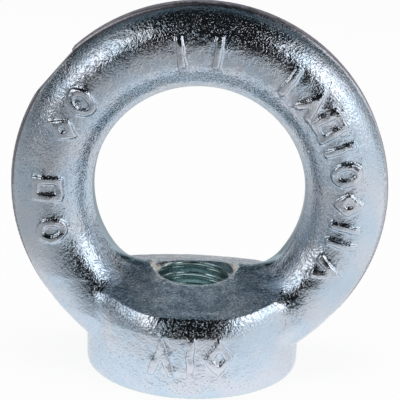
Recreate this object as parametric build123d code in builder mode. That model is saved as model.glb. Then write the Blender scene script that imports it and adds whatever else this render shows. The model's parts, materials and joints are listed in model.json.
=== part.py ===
"""Lifting eye nut for an M12 thread: one steel drop forging, trimmed, tapped and zinc plated.

Millimetres. The seat face lies at Z = 0 and the thread runs along Z. The ring stands in the XZ plane,
which is also the plane where the two forging dies met: everything falls away from it along Y, and
the flash that stood out there was sheared off, which left a narrow flat land all the way round.
"""

import os
from math import cos, hypot, radians, sin, tan

from build123d import *

# Thread, ISO metric coarse, and the mouths cut at both its ends
thread_diameter = 12.0
thread_pitch = 1.75
thread_depth_per_pitch = 1.0825  # on the diameter
mouth_diameter = 12.8
mouth_angle = 90.0

# Boss: a short round column under a roof that falls away on both sides of the parting plane
boss_diameter = 31.2
boss_foot_radius = 0.4
ridge_height = 14.35
front_slope = 12.0
front_round_radius = 3.4
front_overhang = 0.4
front_edge_radius = 1.5
back_slope = 13.5
back_edge_radius = 3.4

# Ring: its bar thickens towards the boss
ring_outer_diameter = 53.8
ring_inner_diameter = 30.6
ring_centre_height = 26.0
ring_shift = 0.3
bar_thickness_at_top = 12.0
bar_thickness_in_boss = 24.0
bar_flare_power = 6
bar_stations = 13

# Land left by the sheared flash, which stands just proud of the bar: round the rim, and round the
# eye with its flat floor
land_width = 3.2
land_height = 0.05
eye_floor_height = 14.5
eye_corner_radius = 6.0

# Where the shear bit too deep, on the upper left of the rim
bite_start = 132.8
bite_direction = 139.5
bite_depth = 0.5

# Blend where the ring runs into the boss, along the seams that start this near the parting plane
neck_radius = 0.8
neck_seam_reach = 0.2

# Raised marks on the front: plain shapes at these angles round the ring, and at these X on the boss
mark_height = 0.36
mark_stroke = 0.95
ring_mark_length = 4.5
ring_mark_width = 3.4
ring_marks_at = {
    "bar": (98, 84, 55, 22.5),
    "square": (32.5, 178),
    "round": (12.5, 141, 194.5),
    "diamond": (0.5, 153.5),
    "pair": (-12,),
    "chevron": (43, -26.5),
}
boss_mark_length = 5.6
boss_mark_width = 4.0
boss_mark_middle = 6.1
boss_marks_at = {"chevron": (-3.7,), "bar": (0.4,), "diamond": (4.3,)}

thread_minor_diameter = thread_diameter - thread_depth_per_pitch * thread_pitch
boss_radius = boss_diameter / 2
crest_radius = (ring_outer_diameter + ring_inner_diameter) / 4
bar_depth = (ring_outer_diameter - ring_inner_diameter) / 2
rim_radius = ring_outer_diameter / 2 + land_height
eye_radius = ring_inner_diameter / 2 - land_height

# The ring's own plane: local X is X, local Y is Z, and it faces the front (-Y)
ring_centre = Vector(ring_shift, 0, ring_centre_height)
ring_plane = Plane(origin=ring_centre, x_dir=(1, 0, 0), z_dir=(0, -1, 0))
bite_outward = (cos(radians(bite_direction)), 0, sin(radians(bite_direction)))
bite_plane = Plane(origin=ring_centre, x_dir=bite_outward, z_dir=(0, -1, 0))

# The roof's outline in the YZ plane, with the front at -Y: a straight fall, then a round front
front_reach = boss_radius + front_overhang
round_start = front_reach - front_round_radius * (1 - sin(radians(front_slope)))
round_start_height = ridge_height - round_start * tan(radians(front_slope))
round_end_height = round_start_height - front_round_radius * cos(radians(front_slope))
back_height = ridge_height - boss_radius * tan(radians(back_slope))


def bar_thickness(angle):
    """The bar's thickness along Y at an angle round the ring: it grows fast near the boss."""
    nearness = (1 - sin(angle)) / 2
    return bar_thickness_at_top + (bar_thickness_in_boss - bar_thickness_at_top) * nearness**bar_flare_power


with BuildPart() as boss:
    with BuildSketch():
        Circle(boss_radius)
    extrude(amount=ridge_height)
    with BuildSketch(Plane.YZ):
        with BuildLine():
            fall = Line((0, ridge_height), (-round_start, round_start_height))
            front = TangentArc(fall @ 1, (-front_reach, round_end_height), tangent=fall % 1)
            Polyline(front @ 1, (-front_reach, 0), (boss_radius, 0), (boss_radius, back_height), fall @ 0)
        make_face()
    extrude(amount=boss_radius, both=True, mode=Mode.INTERSECT)
    fillet(boss.edges().filter_by(GeomType.ELLIPSE).group_by(Axis.Y)[-1], back_edge_radius)
    curved_edges = boss.edges().filter_by(GeomType.LINE, reverse=True)
    wall_top = curved_edges.filter_by_position(Axis.Z, 1, ridge_height)
    fillet(wall_top.filter_by_position(Axis.Y, -boss_radius, -1), front_edge_radius)
    fillet(boss.edges().group_by(Axis.Z)[0], boss_foot_radius)


def ring_bar(raised):
    """The ring's bar, with its skin raised by this much."""
    with BuildPart() as bar:
        for station in range(bar_stations):
            angle = radians(-90 + 180 * station / (bar_stations - 1))
            outward = Vector(cos(angle), 0, sin(angle))
            along = Vector(-sin(angle), 0, cos(angle))
            with BuildSketch(Plane(ring_centre + crest_radius * outward, x_dir=(0, 1, 0), z_dir=along)):
                Ellipse(bar_thickness(angle) / 2 + raised, bar_depth / 2 + raised)
        loft()
        mirror(about=Plane(origin=ring_centre, z_dir=(1, 0, 0)))
    return bar.part


def draw_mark(shape, width, length):
    """One plain shape in strokes of one width, its length along local Y."""
    slant = hypot(width / 2, length)
    if shape == "bar":
        Rectangle(mark_stroke, length)
    elif shape == "pair":
        with GridLocations(width - mark_stroke, 0, 2, 1):
            Rectangle(mark_stroke, length)
    elif shape == "square":
        Rectangle(width, length)
        Rectangle(width - 2 * mark_stroke, length - 2 * mark_stroke, mode=Mode.SUBTRACT)
    elif shape == "round":
        Ellipse(width / 2, length / 2)
        Ellipse(width / 2 - mark_stroke, length / 2 - mark_stroke, mode=Mode.SUBTRACT)
    elif shape == "diamond":
        hole = 1 - 2 * mark_stroke * hypot(width, length) / (width * length)
        for size, mode in ((1, Mode.ADD), (hole, Mode.SUBTRACT)):
            x = size * width / 2
            y = size * length / 2
            Polygon((x, 0), (0, y), (-x, 0), (0, -y), mode=mode)
    elif shape == "chevron":
        foot = width / 2 - mark_stroke * slant / length
        notch = length / 2 - 2 * mark_stroke * slant / width
        top = length / 2
        side = width / 2
        Polygon((side, -top), (0, top), (-side, -top), (-foot, -top), (0, notch), (foot, -top), align=None)


with BuildPart() as ring_marks:
    with BuildSketch(ring_plane):
        for shape, angles in ring_marks_at.items():
            for angle in angles:
                place = (crest_radius * cos(radians(angle)), crest_radius * sin(radians(angle)))
                with Locations(Location(place, angle - 90)):
                    draw_mark(shape, ring_mark_width, ring_mark_length)
    extrude(amount=bar_thickness_in_boss)
    add(ring_bar(mark_height), mode=Mode.INTERSECT)

with BuildPart() as boss_marks:
    with BuildSketch(Plane.XZ):
        for shape, places in boss_marks_at.items():
            for place in places:
                with Locations((place, boss_mark_middle)):
                    draw_mark(shape, boss_mark_width, boss_mark_length)
    extrude(amount=boss_diameter)
    with BuildSketch():
        Circle(boss_radius + mark_height)
    extrude(amount=ridge_height, mode=Mode.INTERSECT)

with BuildPart() as eye_nut:
    add(boss.part)
    add(ring_bar(0))
    split(bisect_by=Plane.XY)
    neck_seams = eye_nut.edges().filter_by(GeomType.BSPLINE).filter_by_position(Axis.Z, 2, ridge_height)
    fillet(neck_seams.filter_by_position(Axis.Y, -neck_seam_reach, neck_seam_reach), neck_radius)

    with BuildSketch(ring_plane):
        Circle(rim_radius)
    extrude(amount=land_width / 2, both=True)
    with BuildSketch(ring_plane) as eye:
        Circle(eye_radius)
        split(bisect_by=Plane((0, eye_floor_height - ring_centre_height, 0), z_dir=(0, 1, 0)))
        fillet(eye.vertices(), eye_corner_radius)
    extrude(amount=bar_thickness_in_boss, both=True, mode=Mode.SUBTRACT)
    with BuildSketch(bite_plane):
        with Locations((rim_radius - bite_depth, rim_radius * sin(radians(bite_start - bite_direction)))):
            Rectangle(bar_depth, rim_radius, align=(Align.MIN, Align.MIN))
    extrude(amount=bar_thickness_in_boss, both=True, mode=Mode.SUBTRACT)
    split(bisect_by=Plane.XY)
    add(ring_marks.part)
    add(boss_marks.part)

    with Locations(Plane(origin=(0, 0, ridge_height))):
        CounterSinkHole(thread_minor_diameter / 2, mouth_diameter / 2, ridge_height, mouth_angle)
    with Locations(Plane(origin=(0, 0, 0), z_dir=(0, 0, -1))):
        CounterSinkHole(thread_minor_diameter / 2, mouth_diameter / 2, ridge_height, mouth_angle)

eye_nut.part.label = "eye_nut"

os.makedirs("parts", exist_ok=True)
export_step(eye_nut.part, "parts/eye_nut.step")
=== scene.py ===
"""The looks of a forged lifting eye nut: as-forged skin, worn raised marks, a cut thread and bright zinc plating.

Metres, in the CAD frame: the seat face lies at Z = 0, the ring stands in the XZ plane and -Y is the marked face.
"""

import json
import math

import bpy
import numpy as np
from mathutils import Matrix, Vector, noise


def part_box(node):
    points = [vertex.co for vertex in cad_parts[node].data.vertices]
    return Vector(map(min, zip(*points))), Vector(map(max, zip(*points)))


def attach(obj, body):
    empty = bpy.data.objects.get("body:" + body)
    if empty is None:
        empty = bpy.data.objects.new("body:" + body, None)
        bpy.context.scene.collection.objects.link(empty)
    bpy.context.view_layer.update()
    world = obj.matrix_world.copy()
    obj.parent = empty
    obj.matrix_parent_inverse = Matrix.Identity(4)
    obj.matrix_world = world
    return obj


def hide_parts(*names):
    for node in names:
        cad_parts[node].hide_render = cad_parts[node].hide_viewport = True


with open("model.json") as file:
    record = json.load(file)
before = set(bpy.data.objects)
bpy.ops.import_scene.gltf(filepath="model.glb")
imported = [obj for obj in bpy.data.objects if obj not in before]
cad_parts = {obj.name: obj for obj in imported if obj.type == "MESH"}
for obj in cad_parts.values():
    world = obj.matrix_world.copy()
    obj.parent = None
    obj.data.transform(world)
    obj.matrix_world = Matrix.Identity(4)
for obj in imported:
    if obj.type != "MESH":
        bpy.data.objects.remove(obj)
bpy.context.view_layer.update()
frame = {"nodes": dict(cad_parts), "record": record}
cad_nut = frame["nodes"]["eye_nut"]

MM = 0.001
nut_low, nut_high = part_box("eye_nut")
thread_mount = next(m for m in frame["record"]["mounts"] if m["name"] == "thread")

# The ring, from the frame: it stands on the seat and its rim touches the sides and the top of the box
rim_radius = (nut_high.x - nut_low.x) / 2
ring_centre = Vector(((nut_low.x + nut_high.x) / 2, 0, nut_high.z - rim_radius))
boss_radius = nut_high.y
thread_minor_radius = thread_mount["dims"]["r_mm"] * MM

BAR_DEPTH = 11.7 * MM
BAR_THICKNESS_AT_TOP = 12.0 * MM
BAR_THICKNESS_IN_BOSS = 24.0 * MM
BAR_FLARE_POWER = 6
LAND_HALF_WIDTH = 1.6 * MM
LAND_WIDER_AT_BITE = 0.6 * MM
BITE_ANGLE = math.radians(138)
EYE_FLOOR = 14.5 * MM
RIDGE_HEIGHT = 14.35 * MM
MARK_HEIGHT = 0.36 * MM
THREAD_MAJOR_RADIUS = 6.0 * MM
THREAD_PITCH = 1.75 * MM
MOUTH_RADIUS = 6.4 * MM

eye_radius = rim_radius - BAR_DEPTH
crest_radius = (rim_radius + eye_radius) / 2

# The forging's mesh: the cell that it is remeshed at, the triangles left before the thread is cut, and how near
# two vertices are joined, in the CAD mesh and after the thread is cut
SKIN_CELL = 0.17 * MM
SKIN_TRIANGLES = 165_000
CAD_WELD = 0.0005 * MM
CUT_WELD = 0.002 * MM

# The marks' worn outlines: how far and how finely they waver, and the zone round them that keeps its shape
MARK_WARP = 0.16 * MM
MARK_WARP_CELL = 1.3 * MM
MARK_WARP_SEEDS = (11, 12, 13)
NEAR_MARK_RISE = 0.1 * MM
NEAR_MARK_RINGS = 5

# Rounds of relaxing everywhere, away from the marks, at the front of the roof and beside the mouth
MARK_ROUNDS = 4
FOLD_ROUNDS = 26
EDGE_ROUNDS = 400
SADDLE_ROUNDS = 80

# The skin's unevenness: the height and the width of each wave
SKIN_WAVES = [(0.05 * MM, 5 * MM), (0.030 * MM, 1.5 * MM), (0.018 * MM, 0.7 * MM)]


# ---------------------------------------------------------------- camera

CAMERA_AZIMUTH = math.radians(1.918)
CAMERA_ELEVATION = math.radians(17.271)
CAMERA_ROLL = math.radians(1.86)
CAMERA_DISTANCE = 196.106 * MM
CAMERA_TARGET = Vector((0.489, 0, 24.221)) * MM
CAMERA_LENS = 122.31


def make_camera():
    """A camera in front of the marked face, a little above it and a little turned about its own axis."""
    data = bpy.data.cameras.new("camera")
    data.lens = CAMERA_LENS
    data.clip_start = 0.01
    camera = bpy.data.objects.new("camera", data)
    bpy.context.scene.collection.objects.link(camera)
    back = Vector((
        math.sin(CAMERA_AZIMUTH) * math.cos(CAMERA_ELEVATION),
        -math.cos(CAMERA_AZIMUTH) * math.cos(CAMERA_ELEVATION),
        math.sin(CAMERA_ELEVATION),
    ))
    camera.location = CAMERA_TARGET + CAMERA_DISTANCE * back
    camera.rotation_mode = "QUATERNION"
    roll = Matrix.Rotation(CAMERA_ROLL, 4, back).to_quaternion()
    camera.rotation_quaternion = roll @ (-back).to_track_quat("-Z", "Y")
    bpy.context.scene.camera = camera


# ---------------------------------------------------------------- mesh helpers

def new_object(name, mesh):
    """A linked object that shows the mesh."""
    obj = bpy.data.objects.new(name, mesh)
    bpy.context.scene.collection.objects.link(obj)
    return obj


def apply_modifiers(obj):
    """Turns the object's modifiers into mesh."""
    evaluated = obj.evaluated_get(bpy.context.evaluated_depsgraph_get())
    mesh = bpy.data.meshes.new_from_object(evaluated)
    obj.modifiers.clear()
    obj.data = mesh


def read_rows(collection, name):
    """A vector property of each element, as an array of rows."""
    flat = np.empty(len(collection) * 3, np.float32)
    collection.foreach_get(name, flat)
    return flat.reshape(-1, 3).astype(float)


def set_coordinates(mesh, points):
    """Moves the mesh's vertices to the points."""
    mesh.vertices.foreach_set("co", points.astype(np.float32).ravel())
    mesh.update()


def smoothstep(edge0, edge1, value):
    """0 at the first edge and beyond, 1 at the second and beyond, and smooth between."""
    t = np.clip((value - edge0) / (edge1 - edge0), 0, 1)
    return t * t * (3 - 2 * t)


# ---------------------------------------------------------------- where a point lies on the nut

def ring_place(points):
    """Each point's angle round the ring, from +X towards +Z, and its distance from the ring's axis."""
    across = points[:, 0] - ring_centre.x
    above = points[:, 2] - ring_centre.z
    return np.arctan2(above, across), np.hypot(across, above)


def rim_share(points):
    """How far each point lies on the land that the shear left round the rim, from 0 to 1."""
    angle, radius = ring_place(points)
    wider = LAND_WIDER_AT_BITE * smoothstep(math.radians(50), math.radians(25), np.abs(angle - BITE_ANGLE))
    between = smoothstep(0.25 * MM, -0.05 * MM, np.abs(points[:, 1]) - LAND_HALF_WIDTH - wider)
    on_rim = smoothstep(rim_radius - 0.9 * MM, rim_radius - 0.6 * MM, radius)
    return between * on_rim * smoothstep(rim_radius + 0.5 * MM, rim_radius + 0.2 * MM, radius)


def eye_share(points):
    """How far each point lies on the eye's land or its flat floor, from 0 to 1."""
    _, radius = ring_place(points)
    between = smoothstep(LAND_HALF_WIDTH + 0.1 * MM, LAND_HALF_WIDTH - 0.5 * MM, np.abs(points[:, 1]))
    inside = smoothstep(eye_radius + 0.25 * MM, eye_radius + 0.1 * MM, radius)
    return between * inside * (points[:, 2] > EYE_FLOOR - 0.2 * MM)


def even_share(points):
    """How far each point lies on a sheared or machined surface, from 0 to 1."""
    return np.clip(rim_share(points) + eye_share(points) + seat_share(points), 0, 1)


def seat_share(points):
    """How far each point lies on the machined seat, from 0 to 1."""
    return smoothstep(0.3 * MM, 0.05 * MM, points[:, 2])


def land_end_share(points):
    """How far each point lies where the eye's land runs out into the roof, from 0 to 1."""
    near_roof = smoothstep(EYE_FLOOR + 1.2 * MM, EYE_FLOOR + 0.4 * MM, points[:, 2])
    return near_roof * (points[:, 2] > EYE_FLOOR - 1 * MM) * (np.abs(points[:, 0]) < eye_radius)


def wall_edge_share(points, normals):
    """How far each point lies on the front of the boss between its wall and its roof, from 0 to 1."""
    from_thread = np.hypot(points[:, 0], points[:, 1])
    height = smoothstep(9.0 * MM, 9.8 * MM, points[:, 2]) * smoothstep(14.0 * MM, 13.0 * MM, points[:, 2])
    under_roof = smoothstep(0.93, 0.85, normals[:, 2])
    outside = smoothstep(boss_radius - 5 * MM, boss_radius - 4 * MM, from_thread)
    return height * under_roof * outside * (points[:, 1] < -4 * MM)


def saddle_share(points):
    """How far each point lies in the saddle between the eye's end and the roof, beside the mouth, from 0 to 1."""
    from_thread = np.hypot(points[:, 0], points[:, 1])
    across = smoothstep(MOUTH_RADIUS + 0.1 * MM, MOUTH_RADIUS + 1 * MM, from_thread)
    across *= smoothstep(boss_radius - 1 * MM, boss_radius - 3 * MM, from_thread)
    height = smoothstep(12.4 * MM, 13.0 * MM, points[:, 2]) * smoothstep(17.5 * MM, 15.5 * MM, points[:, 2])
    return across * height * smoothstep(6 * MM, 4 * MM, np.abs(points[:, 1]))


def mark_rise(points):
    """How far each point of the marked face stands above the bare bar or the bare boss wall."""
    angle, radius = ring_place(points)
    nearness = (1 - np.sin(angle)) / 2
    flare = (BAR_THICKNESS_IN_BOSS - BAR_THICKNESS_AT_TOP) * nearness**BAR_FLARE_POWER
    half_thickness = (BAR_THICKNESS_AT_TOP + flare) / 2
    level = np.hypot(points[:, 1] / half_thickness, (radius - crest_radius) / (BAR_DEPTH / 2))
    on_crest = (points[:, 1] < -3 * MM) & (points[:, 2] > RIDGE_HEIGHT) & (np.abs(radius - crest_radius) < 3 * MM)
    wall_radius = np.hypot(points[:, 0], points[:, 1])
    on_wall = (np.abs(points[:, 0]) < 8 * MM) & (np.abs(points[:, 2] - 6 * MM) < 3.6 * MM) & (points[:, 1] < 0)
    return np.where(on_wall, wall_radius - boss_radius, np.where(on_crest, (level - 1) * half_thickness, 0))


def mark_share(points):
    """How far each point lies on a raised mark, from 0 to 1."""
    return smoothstep(0.35 * MARK_HEIGHT, 0.8 * MARK_HEIGHT, mark_rise(points))


# ---------------------------------------------------------------- the forging

def even_skin():
    """A closed copy of the CAD solid with small even faces, each vertex back on the solid's surface."""
    obj = new_object("nut", cad_nut.data.copy())
    weld = obj.modifiers.new("weld", "WELD")
    weld.merge_threshold = CAD_WELD
    remesh = obj.modifiers.new("remesh", "REMESH")
    remesh.mode = "VOXEL"
    remesh.voxel_size = SKIN_CELL
    wrap = obj.modifiers.new("wrap", "SHRINKWRAP")
    wrap.target = cad_nut
    wrap.wrap_method = "NEAREST_SURFACEPOINT"
    apply_modifiers(obj)
    return obj


def edge_ends(mesh):
    """Two rows: the vertex at each edge's first end, and at its second."""
    flat = np.empty(len(mesh.edges) * 2, np.int32)
    mesh.edges.foreach_get("vertices", flat)
    return flat.reshape(-1, 2).T


def neighbour_mean(first, second, values):
    """The mean of each vertex's neighbours."""
    size = len(values)
    count = np.bincount(first, minlength=size) + np.bincount(second, minlength=size)
    total = np.bincount(first, values[second], size) + np.bincount(second, values[first], size)
    return total / count


def relax(mesh, share, rounds):
    """Rounds the folds and edges where the share isn't 0: each vertex moves towards its neighbours' middle."""
    points = read_rows(mesh.vertices, "co")
    ends = edge_ends(mesh)
    ends = ends[:, (share[ends] > 0).any(axis=0)]
    zone, places = np.unique(ends, return_inverse=True)
    first, second = places.reshape(2, -1)
    step = 0.5 * share[zone][:, None]
    moved = points[zone]
    for _ in range(rounds):
        middles = np.stack([neighbour_mean(first, second, moved[:, axis]) for axis in range(3)], axis=1)
        moved += step * (middles - moved)
    points[zone] = moved
    set_coordinates(mesh, points)


def noise_field(points, cell, seed):
    """Smooth noise from -1 to 1, with bumps about one cell across."""
    shift = Vector((17.3, 5.1, 9.7)) * seed
    return np.array([noise.noise(Vector(p) + shift) for p in points / cell])


def shape_skin(mesh):
    """Folds rounded, marks softened, and the uneven skin that scale and wear in the dies leave."""
    points = read_rows(mesh.vertices, "co")
    forged = np.maximum(1 - even_share(points), land_end_share(points))
    first, second = edge_ends(mesh)
    near_mark = (mark_rise(points) > NEAR_MARK_RISE).astype(float)
    for _ in range(NEAR_MARK_RINGS):
        near_mark = np.minimum(3 * neighbour_mean(first, second, near_mark) + near_mark, 1)
    warp = np.stack([noise_field(points, MARK_WARP_CELL, seed) for seed in MARK_WARP_SEEDS], axis=1)
    set_coordinates(mesh, points + MARK_WARP * warp * near_mark[:, None])
    relax(mesh, forged, MARK_ROUNDS)
    relax(mesh, forged * (1 - near_mark), FOLD_ROUNDS)
    normals = read_rows(mesh.vertex_normals, "vector")
    relax(mesh, wall_edge_share(points, normals), EDGE_ROUNDS)
    relax(mesh, saddle_share(points), SADDLE_ROUNDS)

    points = read_rows(mesh.vertices, "co")
    normals = read_rows(mesh.vertex_normals, "vector")
    lift = sum(depth * noise_field(points, cell, seed) for seed, (depth, cell) in enumerate(SKIN_WAVES, 1))
    set_coordinates(mesh, points + normals * (lift * forged)[:, None])


def thin_out(nut, triangles):
    """Takes faces away where the skin is flattest."""
    now = sum(len(p.vertices) - 2 for p in nut.data.polygons)
    fewer = nut.modifiers.new("fewer", "DECIMATE")
    fewer.ratio = triangles / now
    apply_modifiers(nut)


# ---------------------------------------------------------------- the thread

# The tool's mesh, how far it stands out of the hole, and how far it clears the CAD's plain wall
TOOL_STEPS = 96
TOOL_ROWS_PER_PITCH = 14
TOOL_BELOW = 0.5 * MM
TOOL_ABOVE = 3 * MM
TOOL_CLEARANCE = 0.03 * MM
ROOT_FLAT = 0.125
CREST_FLAT = 0.25


def thread_tool():
    """A closed solid of what the drill, the countersink and the tap took away."""
    steps = TOOL_STEPS
    bottom = -TOOL_BELOW
    top = RIDGE_HEIGHT + TOOL_ABOVE
    row_count = int((top - bottom) / THREAD_PITCH * TOOL_ROWS_PER_PITCH)
    depth = THREAD_MAJOR_RADIUS - thread_minor_radius
    vertices = []
    for z in np.linspace(bottom, top, row_count):
        for step in range(steps):
            turn = step / steps
            # an eighth of the pitch is flat at the root and a quarter at the crest, with straight flanks between
            from_root = abs((z / THREAD_PITCH - turn) % 1.0 - 0.5) * 2
            flank = np.clip((from_root - ROOT_FLAT) / (1 - ROOT_FLAT - CREST_FLAT), 0, 1)
            radius = thread_minor_radius + TOOL_CLEARANCE + depth * (1 - flank)
            radius = max(radius, MOUTH_RADIUS - max(z, 0), MOUTH_RADIUS - max(RIDGE_HEIGHT - z, 0))
            angle = 2 * math.pi * turn
            vertices.append((radius * math.cos(angle), radius * math.sin(angle), z))
    faces = []
    for row in range(row_count - 1):
        low = row * steps
        high = low + steps
        for step in range(steps):
            following = (step + 1) % steps
            faces.append((low + step, low + following, high + following, high + step))
    faces.append(tuple(reversed(range(steps))))
    faces.append(tuple(range((row_count - 1) * steps, row_count * steps)))
    mesh = bpy.data.meshes.new("thread_tool")
    mesh.from_pydata(vertices, [], faces)
    mesh.update()
    return new_object("thread_tool", mesh)


def cut_thread(nut):
    """Cuts the hole and its thread through the skin."""
    tool = thread_tool()
    cut = nut.modifiers.new("thread", "BOOLEAN")
    cut.operation = "DIFFERENCE"
    cut.solver = "MANIFOLD"
    cut.object = tool
    weld = nut.modifiers.new("weld", "WELD")
    weld.merge_threshold = CUT_WELD
    apply_modifiers(nut)
    bpy.data.objects.remove(tool)


def roof_share(mesh, points):
    """How far each vertex lies on the roof of the boss, from 0 to 1."""
    upwards = read_rows(mesh.vertex_normals, "vector")[:, 2]
    return smoothstep(0.80, 0.93, upwards) * (np.abs(points[:, 2] - 12 * MM) < 3 * MM)


def write_shares(mesh):
    """Keeps how much of each vertex is land, mark, cut metal, chamfer or roof, for the material."""
    points = read_rows(mesh.vertices, "co")
    from_thread = np.hypot(points[:, 0], points[:, 1])
    cone = MOUTH_RADIUS + 0.05 * MM - np.maximum(RIDGE_HEIGHT - points[:, 2], 0)
    under_roof = points[:, 2] < RIDGE_HEIGHT - 0.22 * np.abs(points[:, 1]) - 0.3 * MM
    bore = (from_thread < cone) | (from_thread < MOUTH_RADIUS) & under_roof
    bore &= points[:, 2] < EYE_FLOOR + 1 * MM
    chamfer = smoothstep(thread_minor_radius + 0.1 * MM, thread_minor_radius + 0.3 * MM, from_thread)
    chamfer *= bore & (points[:, 2] > RIDGE_HEIGHT - 1.3 * MM) & (from_thread > cone - 0.15 * MM)
    shares = {
        "rim": rim_share(points),
        "eye": eye_share(points) * (1 - bore),
        "mark": mark_share(points),
        "cut": np.maximum(bore, seat_share(points)),
        "chamfer": chamfer,
        "roof": roof_share(mesh, points),
    }
    for name, share in shares.items():
        layer = mesh.attributes.new(name, "FLOAT", "POINT")
        layer.data.foreach_set("value", share.astype(np.float32))


# ---------------------------------------------------------------- materials

class Shading:
    """Short calls for building one node tree."""

    def __init__(self, tree):
        self.tree = tree

    def node(self, kind, settings=None, **inputs):
        made = self.tree.nodes.new(kind)
        for name, value in (settings or {}).items():
            setattr(made, name, value)
        for name, value in inputs.items():
            self.put(made.inputs[name.replace("_", " ")], value)
        return made

    def put(self, socket, value):
        if isinstance(value, bpy.types.NodeSocket):
            self.tree.links.new(value, socket)
        else:
            socket.default_value = value

    def math(self, operation, a, b=0.0):
        made = self.node("ShaderNodeMath", {"operation": operation})
        self.put(made.inputs[0], a)
        self.put(made.inputs[1], b)
        return made.outputs[0]

    def product(self, *factors):
        result = factors[0]
        for factor in factors[1:]:
            result = self.math("MULTIPLY", result, factor)
        return result

    def ramp(self, value, low, high, out_low=0.0, out_high=1.0):
        made = self.node("ShaderNodeMapRange", {"interpolation_type": "SMOOTHSTEP"}, Value=value,
                         From_Min=low, From_Max=high, To_Min=out_low, To_Max=out_high)
        return made.outputs["Result"]

    def mix(self, share, a, b):
        made = self.node("ShaderNodeMix", {"data_type": "RGBA"})
        for socket, value in zip((made.inputs[0], made.inputs[6], made.inputs[7]), (share, a, b)):
            self.put(socket, value)
        return made.outputs[2]

    def noise(self, place, cell, detail=2.0, roughness=0.5):
        made = self.node("ShaderNodeTexNoise", Vector=place, Scale=1 / cell, Detail=detail, Roughness=roughness)
        return made.outputs["Fac"]

    def attribute(self, name):
        return self.node("ShaderNodeAttribute", {"attribute_name": name}).outputs["Fac"]


# The film's two tints, then the metal's colour at each place; among them are painted shade on the marks' sides and
# in the pits, and a painted dark reflection and painted glints on the roof
FILM_BLUE = (0.57, 0.68, 0.80, 1)
FILM_GREY = (0.65, 0.70, 0.78, 1)
MARK_COLOUR = (0.70, 0.69, 0.72, 1)
# painted shade on the sloping sides of the raised marks
MARK_PAINTED_SHADE = (0.22, 0.26, 0.30, 1)
RIM_COLOUR = (0.44, 0.42, 0.46, 1)
EYE_COLOUR = (0.42, 0.52, 0.57, 1)
CUT_COLOUR = (0.58, 0.72, 0.73, 1)
CHAMFER_COLOUR = (0.40, 0.37, 0.34, 1)
# painted dark bluish reflection, in patches on the up-facing roof
ROOF_PAINTED_DARK_REFLECTION = (0.18, 0.29, 0.37, 1)
# painted glints, near-white specks on the roof
ROOF_PAINTED_GLINT = (0.92, 1.0, 1.0, 1)
# painted shade in the pits
PIT_PAINTED_SHADE = (0.20, 0.22, 0.25, 1)

# The tint of glancing light
PLAIN_EDGE = (1, 1, 1, 1)
RIM_EDGE = (0.53, 0.51, 0.56, 1)
EYE_EDGE = (0.6, 0.65, 0.68, 1)

# The grain of the skin, from fine to broad, among them the sizes of the painted glints and the painted dark
# reflection patches on the roof
# the size of the painted glints on the roof
PAINTED_GLINT_CELL = 0.22 * MM
PIT_CELL = 0.30 * MM
GRAIN_CELL = 0.32 * MM
COARSE_CELL = 0.9 * MM
ROUGHNESS_CELL = 1.2 * MM
# the size of the painted dark reflection patches on the roof
PAINTED_REFLECTION_CELL = 2.2 * MM
FILM_CELL = 5 * MM
GRAIN_DEPTH = 0.16 * MM


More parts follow.
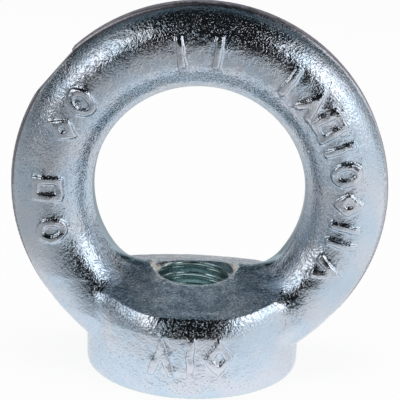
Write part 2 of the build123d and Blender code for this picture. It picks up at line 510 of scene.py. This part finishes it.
def zinc():
    """Bright zinc plating, its thin passive film tinting it blue, rose and green, over a grainy forged skin."""
    material = bpy.data.materials.new("zinc")
    material.use_nodes = True
    shade = Shading(material.node_tree)
    shader = material.node_tree.nodes["Principled BSDF"]
    place = shade.node("ShaderNodeTexCoord").outputs["Object"]
    rim = shade.attribute("rim")
    eye = shade.attribute("eye")
    mark = shade.attribute("mark")
    cut = shade.attribute("cut")
    roof = shade.attribute("roof")

    film = shade.ramp(shade.noise(place, FILM_CELL, 3.0), 0.40, 0.62)
    colour = shade.mix(film, FILM_BLUE, FILM_GREY)
    colour = shade.mix(shade.product(mark, 0.35), colour, MARK_COLOUR)
    colour = shade.mix(rim, colour, RIM_COLOUR)
    colour = shade.mix(eye, colour, EYE_COLOUR)
    colour = shade.mix(cut, colour, CUT_COLOUR)
    colour = shade.mix(shade.attribute("chamfer"), colour, CHAMFER_COLOUR)
    # painted dark reflection: bluish dark patches only on the up-facing roof, where the metal faces the dark
    # ceiling
    painted_reflection_patches = shade.ramp(shade.noise(place, PAINTED_REFLECTION_CELL, 3.0), 0.42, 0.60, 0.0, 0.55)
    colour = shade.mix(shade.product(painted_reflection_patches, roof), colour, ROOF_PAINTED_DARK_REFLECTION)
    # painted glints: near-white specks only on the up-facing roof
    painted_glints = shade.ramp(shade.noise(place, PAINTED_GLINT_CELL, 1.0), 0.58, 0.68)
    colour = shade.mix(shade.product(painted_glints, roof, 0.8), colour, ROOF_PAINTED_GLINT)
    # the pits are dents in the bump below and are painted dark as shade: a little on most of the skin, half as much
    # on the marks, never on cut metal, and much more on the up-facing roof
    pits = shade.ramp(shade.noise(place, PIT_CELL, 1.0), 0.58, 0.70)
    pits = shade.product(pits, shade.ramp(mark, 0, 1, 1, 0.5), shade.ramp(cut, 0, 1, 1, 0))
    colour = shade.mix(shade.product(pits, shade.ramp(roof, 0, 1, 0.1, 0.75)), colour, PIT_PAINTED_SHADE)
    # painted shade down the marks' sloping sides, darkest halfway up each step, where the steps would fall in shade
    mark_side_shade = shade.product(shade.ramp(mark, 0, 0.5), shade.ramp(mark, 1, 0.5), 0.55)
    colour = shade.mix(mark_side_shade, colour, MARK_PAINTED_SHADE)
    shade.put(shader.inputs["Base Color"], colour)
    shader.inputs["Metallic"].default_value = 1.0
    shade.put(shader.inputs["Specular Tint"], shade.mix(eye, shade.mix(rim, PLAIN_EDGE, RIM_EDGE), EYE_EDGE))

    # the sheared land and the cut thread are duller than the skin
    rough = shade.ramp(shade.noise(place, ROUGHNESS_CELL, 3.0), 0.3, 0.7, 0.09, 0.17)
    duller = shade.math("ADD", shade.product(rim, 0.25), shade.product(cut, 0.12))
    shade.put(shader.inputs["Roughness"], shade.math("ADD", rough, duller))

    # pimples are the pits' noise read elsewhere, and stand up where pits go down
    grain = shade.product(shade.noise(place, GRAIN_CELL, 2.0, 0.55), 0.95)
    coarse = shade.product(shade.noise(place, COARSE_CELL, 1.0), 0.8)
    away = shade.node("ShaderNodeVectorMath", {"operation": "ADD"})
    shade.put(away.inputs[0], place)
    shade.put(away.inputs[1], (1, 1, 1))
    pimples = shade.ramp(shade.noise(away.outputs[0], PIT_CELL, 1.0), 0.58, 0.70)
    relief = shade.product(shade.math("SUBTRACT", pimples, pits), 0.28)
    height = shade.math("ADD", shade.math("ADD", grain, coarse), relief)
    smooth = shade.math("MAXIMUM", shade.math("MAXIMUM", rim, eye), cut)
    strength = shade.product(
        shade.ramp(smooth, 0, 1, 1.0, 0.25),
        shade.ramp(mark, 0, 1, 1.0, 0.7),
        shade.ramp(roof, 0, 1, 0.47, 1.6),
    )
    bump = shade.node("ShaderNodeBump", Height=height, Strength=strength, Distance=GRAIN_DEPTH)
    shade.put(shader.inputs["Normal"], bump.outputs["Normal"])
    return material


# ---------------------------------------------------------------- studio

# Each light area: strength, colour, azimuths from the front towards +X, elevations, softness of the edges
NEUTRAL = (1.0, 1.0, 1.0)
COOL = (0.84, 1.0, 1.10)
ROOF_BLUE = (0.78, 1.0, 1.14)
STUDIO_AREAS = [
    (1.70, NEUTRAL, -62, -39, 16, 51, 6, 5),
    (1.08, NEUTRAL, -82, -62, 18, 53, 6, 5),
    (0.38, NEUTRAL, -110, -82, 30, 56, 8, 6),
    (1.95, NEUTRAL, 48, 90, 16, 47, 6, 5),
    (0.95, NEUTRAL, 90, 118, 10, 43, 10, 6),
    (0.75, NEUTRAL, 40, 112, -14, 12, 12, 6),
    (0.10, COOL, -180, -40, -14, 14, 12, 10),
    (0.13, NEUTRAL, -180, 180, -16, 14, 1, 8),
    (0.30, COOL, 132, 228, 8, 22, 12, 4),
    (0.20, ROOF_BLUE, 115, 245, 37, 52, 20, 4),
]
STUDIO_GLOW = 0.010

# The table, the strength of its glow that the metal sees on it, painted light that is brighter on the right and
# near the nut with a painted shade in front, and the strength that all else sees
TABLE_HALF_SIZE = 3.0
TABLE_GAP = 0.02 * MM
TABLE_LEFT = 0.17
TABLE_RIGHT = 0.60
TABLE_UNDER_NUT = 0.82
TABLE_DIP_IN_FRONT = 0.26
TABLE_PLAIN_GLOW = 0.6
TABLE_GREY = (0.4, 0.4, 0.4, 1)
WHITE = (1, 1, 1, 1)

LAMP_SIZE = 0.5
LAMP_WATTS = 2.2
LAMP_HEIGHT = 0.6


def build_world():
    """A dark studio with a bright box on each side. The camera sees white all round, and so does the metal
    where it mirrors the backdrop."""
    world = bpy.data.worlds.new("studio")
    bpy.context.scene.world = world
    world.use_nodes = True
    world.node_tree.nodes.clear()
    shade = Shading(world.node_tree)
    direction = shade.node("ShaderNodeTexCoord").outputs["Generated"]
    x, y, z = shade.node("ShaderNodeSeparateXYZ", Vector=direction).outputs
    elevation = shade.product(shade.math("ARCSINE", z), math.degrees(1))
    azimuth = shade.product(shade.math("ARCTAN2", x, shade.product(y, -1.0)), math.degrees(1))

    # the same angle from 0 to 360, so that an area at the back is not cut in two
    turned = shade.math("FLOORED_MODULO", azimuth, 360.0)
    light = (STUDIO_GLOW, STUDIO_GLOW, STUDIO_GLOW)
    for strength, tint, az0, az1, el0, el1, soft_az, soft_el in STUDIO_AREAS:
        around = turned if az1 > 180 else azimuth
        area = shade.product(
            shade.ramp(around, az0 - soft_az, az0 + soft_az),
            shade.ramp(around, az1 + soft_az, az1 - soft_az),
            shade.ramp(elevation, el0 - soft_el, el0 + soft_el),
            shade.ramp(elevation, el1 + soft_el, el1 - soft_el),
            strength,
        )
        sum_node = shade.node("ShaderNodeVectorMath", {"operation": "MULTIPLY_ADD"})
        for socket, value in zip(sum_node.inputs, (tint, area, light)):
            shade.put(socket, value)
        light = sum_node.outputs[0]

    studio = shade.node("ShaderNodeBackground", Color=light)
    backdrop = shade.node("ShaderNodeBackground", Color=WHITE)
    path = shade.node("ShaderNodeLightPath").outputs
    seen = shade.math("MAXIMUM", path["Is Camera Ray"], path["Is Transmission Ray"])
    # the metal mirrors the white backdrop where that stands, behind the nut and low down
    behind = shade.product(shade.ramp(turned, 130, 145), shade.ramp(turned, 230, 215), shade.ramp(elevation, 18, 8))
    seen = shade.math("MAXIMUM", seen, shade.product(path["Is Glossy Ray"], behind))
    both = shade.node("ShaderNodeMixShader")
    for socket, value in zip(both.inputs, (seen, studio.outputs[0], backdrop.outputs[0])):
        shade.put(socket, value)
    shade.node("ShaderNodeOutputWorld", Surface=both.outputs[0])


def build_table():
    """The white table that the nut stands on. It glows, and where the metal mirrors it the glow is painted light:
    brighter on the right and near the nut, dimmer in front as a painted shade.
    """
    size = TABLE_HALF_SIZE
    mesh = bpy.data.meshes.new("table")
    mesh.from_pydata([(-size, -size, 0), (size, -size, 0), (size, size, 0), (-size, size, 0)], [], [(0, 1, 2, 3)])
    table = new_object("table", mesh)
    table.location.z = nut_low.z - TABLE_GAP
    material = bpy.data.materials.new("table")
    material.use_nodes = True
    material.node_tree.nodes.clear()
    shade = Shading(material.node_tree)
    place = shade.node("ShaderNodeTexCoord").outputs["Object"]
    x, y, _ = shade.node("ShaderNodeSeparateXYZ", Vector=place).outputs
    path = shade.node("ShaderNodeLightPath").outputs

    # painted light seen only in the metal's mirror: a glow rising to the right and a pool round the nut, less a
    # painted shade in front
    far = shade.ramp(x, -70 * MM, 70 * MM, TABLE_LEFT, TABLE_RIGHT)
    in_front = shade.product(shade.ramp(y, -10 * MM, -55 * MM), shade.ramp(shade.math("ABSOLUTE", x), 90 * MM, 0))
    distance = shade.node("ShaderNodeVectorMath", {"operation": "LENGTH"}, Vector=place).outputs["Value"]
    across = shade.math("MAXIMUM", far, shade.ramp(distance, 10 * MM, 73 * MM, TABLE_UNDER_NUT, 0))
    across = shade.math("SUBTRACT", across, shade.product(in_front, TABLE_DIP_IN_FRONT))
    not_glossy = shade.math("SUBTRACT", 1.0, path["Is Glossy Ray"])
    mirrored = shade.product(across, path["Is Glossy Ray"])
    glow = shade.math("ADD", mirrored, shade.product(not_glossy, TABLE_PLAIN_GLOW))
    lit = shade.node("ShaderNodeAddShader")
    shade.put(lit.inputs[0], shade.node("ShaderNodeBsdfDiffuse", Color=TABLE_GREY).outputs[0])
    shade.put(lit.inputs[1], shade.node("ShaderNodeEmission", Color=WHITE, Strength=glow).outputs[0])
    white = shade.node("ShaderNodeEmission", Color=WHITE, Strength=1.0)
    both = shade.node("ShaderNodeMixShader")
    seen = shade.product(path["Is Camera Ray"], 0.8)
    for socket, value in zip(both.inputs, (seen, lit.outputs[0], white.outputs[0])):
        shade.put(socket, value)
    shade.node("ShaderNodeOutputMaterial", Surface=both.outputs[0])
    mesh.materials.append(material)


def build_lamp():
    """One broad lamp overhead, for the nut's soft shadow. The metal doesn't mirror it."""
    data = bpy.data.lights.new("overhead", "AREA")
    data.shape = "DISK"
    data.size = LAMP_SIZE
    data.energy = LAMP_WATTS
    lamp = bpy.data.objects.new("overhead", data)
    bpy.context.scene.collection.objects.link(lamp)
    lamp.location = (0, 0, LAMP_HEIGHT)
    lamp.visible_glossy = False


# ---------------------------------------------------------------- assembly

make_camera()
nut = even_skin()
shape_skin(nut.data)
thin_out(nut, SKIN_TRIANGLES)
cut_thread(nut)
write_shares(nut.data)
nut.data.materials.clear()
nut.data.materials.append(zinc())
nut.data.shade_smooth()
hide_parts("eye_nut")
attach(nut, "root")

build_world()
build_table()
build_lamp()
bpy.context.scene.view_settings.view_transform = "Standard"

print("TRIANGLES", sum(len(p.vertices) - 2 for p in nut.data.polygons))
